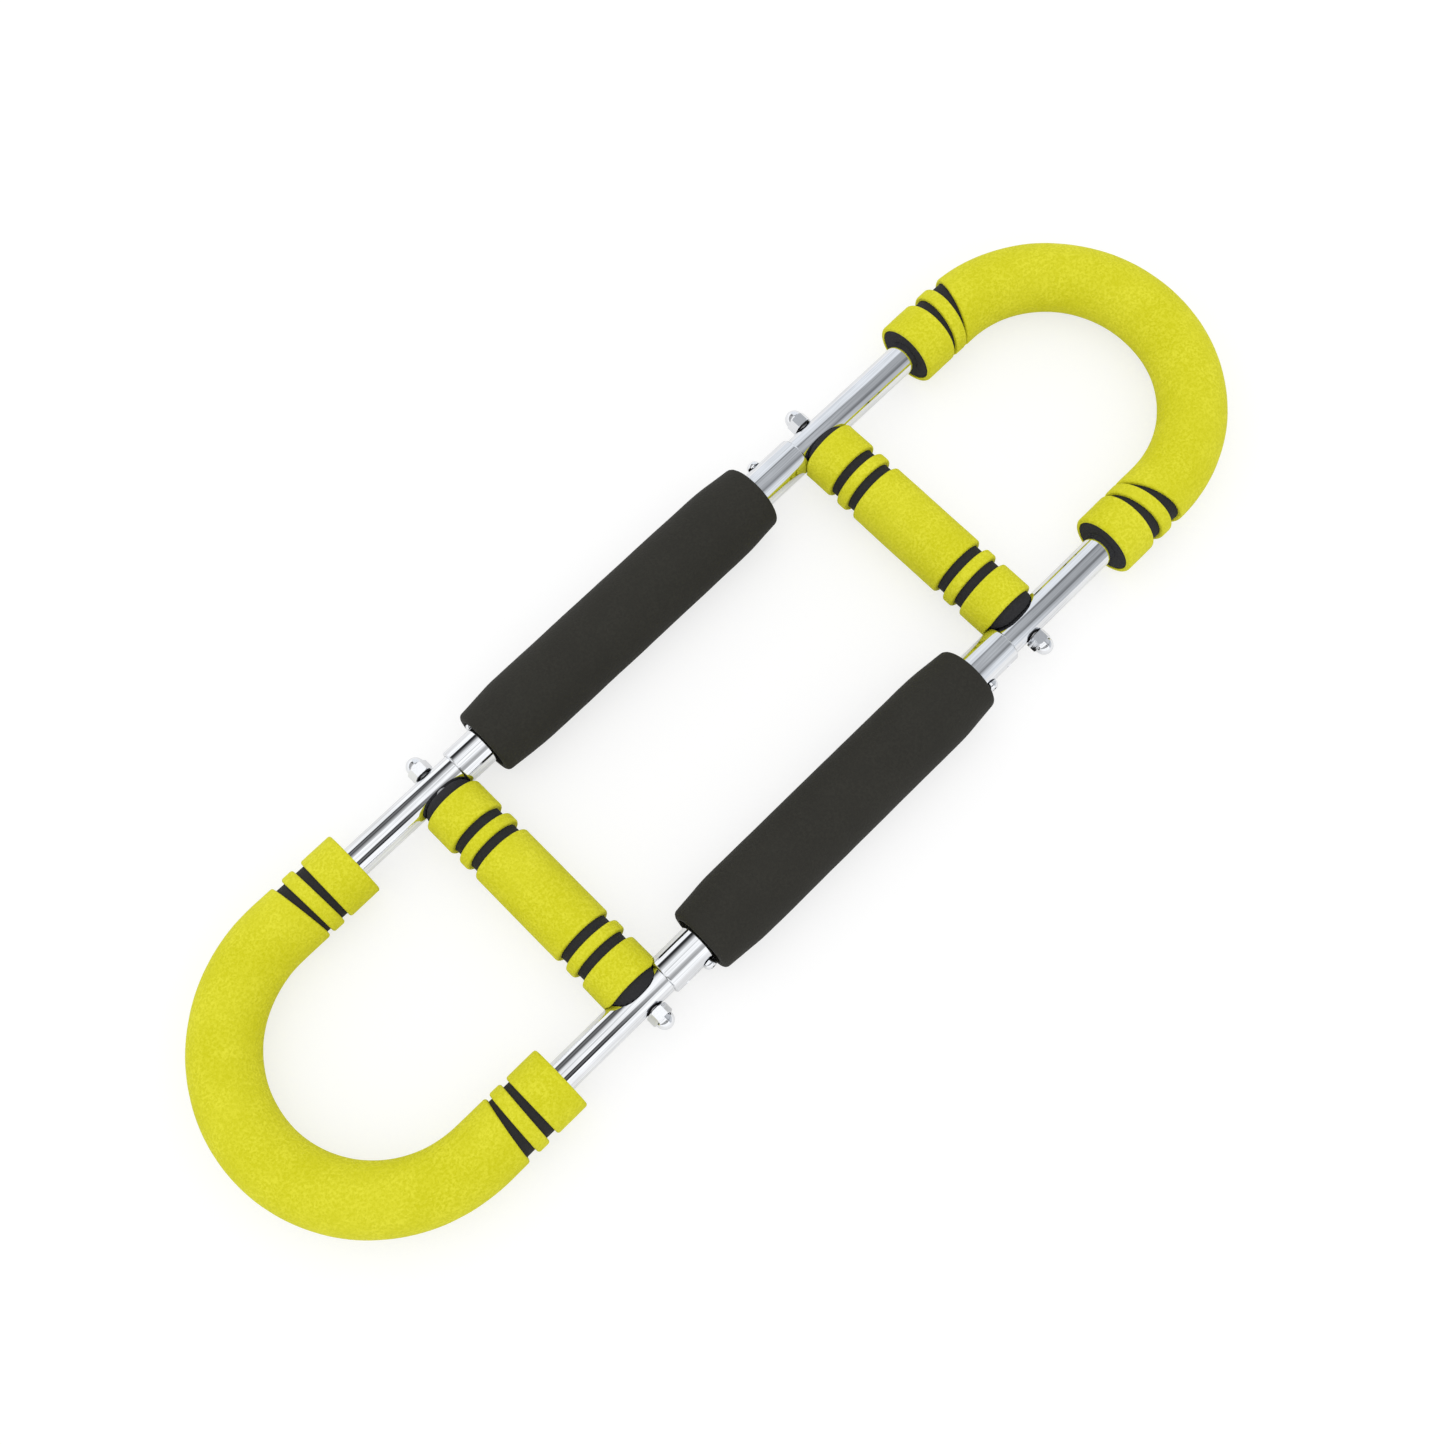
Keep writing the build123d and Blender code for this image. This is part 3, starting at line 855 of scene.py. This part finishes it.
class EXERCISER_OT_springs(bpy.types.Operator):
    """Springs inside the sleeves, each in two halves"""

    bl_idname = "exerciser.springs"
    bl_label = "Springs"

    def execute(self, context):
        for leg in LEGS:
            node = f"{leg}_spring"
            turns = metal_sizes().spring_turns
            for side, first, last in (("left", 0.0, turns / 2), ("right", turns / 2, turns)):
                name = f"{leg}_spring_{side}_half"
                piece = mesh_piece(name, self.rings(node, first, last), loop=False)
                piece.data.materials.append(bpy.data.materials["spring_wire"])
                bend_with_handle(piece, node)
        return {"FINISHED"}

    @staticmethod
    def rings(node, first, last):
        """Rings of points round the wire, from one turn to another."""
        low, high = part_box(node)
        middle = (low + high) / 2
        wire_r = metal_sizes().spring_wire / 2
        coil_r = (high.y - low.y) / 2 - wire_r
        pitch = (high.x - low.x - 2 * wire_r) / metal_sizes().spring_turns
        start_x = low.x + wire_r
        spokes = [2 * math.pi * i / WIRE_SPOKES for i in range(WIRE_SPOKES)]
        rings = []
        for turn in np.linspace(first, last, round(COIL_STEPS * (last - first)) + 1):
            angle = 2 * math.pi * turn
            out = Vector((0, math.cos(angle), math.sin(angle)))
            heading = Vector((pitch / (2 * math.pi), -coil_r * out.z, coil_r * out.y)).normalized()
            across = heading.cross(out)
            centre = Vector((start_x + pitch * turn, middle.y, middle.z)) + coil_r * out
            rings.append([
                centre + wire_r * (math.cos(spoke) * out + math.sin(spoke) * across)
                for spoke in spokes
            ])
        return rings


class EXERCISER_OT_finishes(bpy.types.Operator):
    """Finishes of the foam and of every metal piece"""

    bl_idname = "exerciser.finishes"
    bl_label = "Finishes"

    def execute(self, context):
        foam = foam_sizes()
        metal = metal_sizes()
        # The yellow skin's lighter lump colour is grain and also painted sheen
        foam_finish("yellow_skin", foam.yellow, foam.yellow_grain_and_sheen, depth=0.16 * MM, roughness=0.62)
        foam_finish("core_skin", foam.core, foam.core_light, depth=0.14 * MM, roughness=0.70)
        foam_finish("sleeve_skin", foam.sleeve, foam.sleeve_light, depth=0.12 * MM, roughness=0.66)
        steel_finish("spring_wire", metal.spring, roughness=0.30)
        bare = steel_finish("bare_steel", metal.steel, roughness=0.35)
        tube = chrome_finish(
            "tube_chrome", metal.chrome, along=(0.02, 1.0, 1.0), roughness=0.01, uneven=0.12
        )
        small = chrome_finish(
            "fastener_chrome", metal.fastener, along=(1.0, 1.0, 1.0), roughness=0.04, uneven=0.03
        )
        # The black washers also paint the shade in the gap between each nut and its leg
        washer_and_gap_shade = washer_and_gap_shade_finish()
        for side in SIDES:
            self.paint(tube, f"{side}_hoop_tube", f"{side}_front_socket", f"{side}_back_socket")
            self.paint(small, f"{side}_cap_nuts", f"{side}_socket_screws")
            self.paint(bare, f"{side}_cross_tube", f"{side}_cross_stud")
            self.paint(washer_and_gap_shade, f"{side}_nut_washers")
        return {"FINISHED"}

    @staticmethod
    def paint(material, *nodes):
        """Gives nodes of the frame a finish."""
        for node in nodes:
            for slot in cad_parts[node].material_slots:
                slot.material = material


class EXERCISER_OT_studio(bpy.types.Operator):
    """White floor, soft light and the camera"""

    bl_idname = "exerciser.studio"
    bl_label = "Studio"

    def execute(self, context):
        self.add_floor(context)
        self.add_world(context)
        self.add_lamp(context)
        self.add_camera(context)
        context.scene.view_settings.view_transform = "Standard"
        return {"FINISHED"}

    @staticmethod
    def add_floor(context):
        """A wide pale floor that looks white, with a faint shadow that is stronger in mirrors."""
        half, drop = 6.0, 0.05 * MM
        mesh = bpy.data.meshes.new("floor")
        corners = [(-half, -half, 0), (half, -half, 0), (half, half, 0), (-half, half, 0)]
        mesh.from_pydata(corners, [], [(0, 1, 2, 3)])
        floor = bpy.data.objects.new("floor", mesh)
        floor.location.z = -drop
        context.scene.collection.objects.link(floor)
        material, graph = new_finish("studio_floor")
        studio = studio_sizes()
        faint = shade(studio.floor, studio.floor_shade)
        lit = graph.node("ShaderNodeBsdfDiffuse", None, {"Color": shade(studio.floor)})
        shadow = graph.node("ShaderNodeBsdfDiffuse", None, {"Color": faint})
        glow = graph.node("ShaderNodeEmission", None, {"Color": shade(WHITE, studio.floor_glow)})
        white = graph.node("ShaderNodeAddShader", None, {0: shadow, 1: glow})
        seen = graph.ray("Camera").larger(graph.ray("Transmission"))
        seen = seen.larger(studio.floor_mirrored * graph.ray("Glossy"))
        graph.finish(graph.node("ShaderNodeMixShader", None, {0: seen, 1: lit, 2: white}))
        mesh.materials.append(material)

    def add_world(self, context):
        """Even light from all round, with a white studio and its grey screens in reflections."""
        world = bpy.data.worlds.new("studio")
        world.use_nodes = True
        context.scene.world = world
        graph = Graph(world.node_tree)
        sky = shade(WHITE, studio_sizes().sky)
        colour = graph.tint(graph.ray("Glossy"), sky, self.screens(graph))
        seen = graph.ray("Camera").larger(graph.ray("Transmission"))
        colour = graph.tint(seen, colour, shade(WHITE))
        background = graph.node("ShaderNodeBackground", None, {"Color": colour})
        graph.finish(background, "ShaderNodeOutputWorld")

    @staticmethod
    def screens(graph):
        """What metal mirrors: a white studio with dark screens along the bar, greyer towards +X."""
        way = graph.node("ShaderNodeTexCoord", output="Generated")
        x, y, z = (graph.node("ShaderNodeSeparateXYZ", None, {0: way}, axis) for axis in "XYZ")
        lean = y.sum("ARCTAN2", y, z) * math.degrees(1)

        def screen(low, high, low_soft, high_soft, dark):
            """The light past a screen between two leans in degrees, with soft edges."""
            rise = graph.ease(lean, low - low_soft, low + low_soft)
            return 1 - dark * (rise * (1 - graph.ease(lean, high - high_soft, high + high_soft)))

        # For the left handle: a screen on each side, with darker edges for the bare tubes than for
        # the sockets, and a faint line between them
        socket = graph.ease(x, 0.05, 0.10)
        bare = 1 - socket
        low_soft, high_soft = 1.5 + 2.5 * socket, 2.5 + 9.5 * socket
        near = screen(-52, -23 - 4 * socket, low_soft, high_soft, 0.58 + 0.30 * bare)
        near *= screen(-52, -43, 1.5, 2, 0.85 * bare) * screen(-31, -24, 2, 2, 0.6 * bare)
        near *= screen(6 * socket - 5, 6 * socket, 2, 2, 0.30)
        low_soft, high_soft = 11 + 7 * socket, 2.5
        near *= screen(27 + 5 * socket, 66 - 5 * socket, low_soft, high_soft, 0.84 + 0.14 * socket)
        near *= screen(38, 44, 3, 2, 0.5 * bare) * screen(57, 65, 2, 2, 0.75 * bare)

        # For the right handle: grey overhead between two paler sides, with a dark line at each edge
        tube = graph.ease(x, 0.33, 0.37)
        side = 0.80 - 0.28 * tube
        overhead = 0.47 - 0.09 * tube
        far = side + (overhead - side) * graph.ease(lean, -62 - 8 * tube, -40 - 6 * tube)
        far *= screen(-42 - 10 * tube, -28 - 6 * tube, 6, 10, 0.50)
        far *= screen(24 - 5 * tube, 31 - 5 * tube, 3, 2, 0.45)
        far += (0.82 - far) * graph.ease(lean, 29 - 5 * tube, 37 - 5 * tube)

        # Both together, paler further along the bar either way
        far_share = graph.ease(x, 0.16, 0.28)
        level = near + far_share * (far - near)
        ends = graph.ease(x, 0.42, 0.55) + graph.ease(-1 * x, 0.0, 0.1)
        pale = 0.92
        level += 0.3 * ends * (pale - level)
        dark = (0.004, 0.004, 0.006, 1.0)
        bright = graph.tint(far_share, (1.12, 1.13, 1.14, 1.0), (1.05, 1.09, 1.14, 1.0))
        return graph.tint(level, dark, bright)

    @staticmethod
    def add_lamp(context):
        """One wide soft lamp overhead."""
        studio = studio_sizes()
        data = bpy.data.lights.new("overhead", "AREA")
        data.shape = "DISK"
        data.size = studio.lamp_size
        data.energy = studio.lamp
        lamp = bpy.data.objects.new("overhead", data)
        lamp.location = studio.lamp_place
        aim = Vector((0, 0, AXIS_Z)) - lamp.location
        lamp.rotation_euler = aim.to_track_quat("-Z", "Y").to_euler()
        lamp.visible_glossy = False
        context.scene.collection.objects.link(lamp)

    @staticmethod
    def add_camera(context):
        """The camera at the photograph's viewing angle."""
        studio = studio_sizes()
        data = bpy.data.cameras.new("camera")
        data.angle = studio.camera_angle
        data.clip_start = 0.01
        camera = bpy.data.objects.new("camera", data)
        back = -Vector(studio.camera_look).normalized()
        right = Vector(studio.camera_up).cross(back).normalized()
        up = back.cross(right)
        turn = Matrix((right, up, back)).transposed().to_4x4()
        camera.matrix_world = Matrix.Translation(studio.camera_place) @ turn
        context.scene.collection.objects.link(camera)
        context.scene.camera = camera


OPERATORS = (
    EXERCISER_OT_finishes,
    EXERCISER_OT_hoop_covers,
    EXERCISER_OT_hoop_bands,
    EXERCISER_OT_hoop_cores,
    EXERCISER_OT_cross_grips,
    EXERCISER_OT_sleeves,
    EXERCISER_OT_springs,
    EXERCISER_OT_studio,
)


class EXERCISER_PT_pieces(bpy.types.Panel):
    """Pieces of the exerciser and their settings"""

    bl_label = "Bending exerciser"
    bl_idname = "EXERCISER_PT_pieces"
    bl_space_type = "VIEW_3D"
    bl_region_type = "UI"
    bl_category = "Exerciser"

    def draw(self, context):
        for group in (foam_sizes(), metal_sizes(), studio_sizes()):
            box = self.layout.box()
            for name in group.__annotations__:
                box.prop(group, name)
        for operator in OPERATORS:
            self.layout.operator(operator.bl_idname)


GROUPS = {
    "exerciser_foam": FoamSizes,
    "exerciser_metal": MetalSizes,
    "exerciser_studio": StudioSizes,
}


def register():
    """Adds the classes and the settings."""
    for group in GROUPS.values():
        bpy.utils.register_class(group)
    for name, group in GROUPS.items():
        setattr(bpy.types.Scene, name, PointerProperty(type=group))
    for operator in OPERATORS:
        bpy.utils.register_class(operator)
    bpy.utils.register_class(EXERCISER_PT_pieces)


def unregister():
    """Takes the classes and the settings away again."""
    bpy.utils.unregister_class(EXERCISER_PT_pieces)
    for operator in reversed(OPERATORS):
        bpy.utils.unregister_class(operator)
    for name in GROUPS:
        delattr(bpy.types.Scene, name)
    for group in reversed(GROUPS.values()):
        bpy.utils.unregister_class(group)


def main():
    """Builds every piece in order."""
    register()
    for operator in OPERATORS:
        group, name = operator.bl_idname.split(".")
        getattr(getattr(bpy.ops, group), name)()


if __name__ == "__main__":
    main()
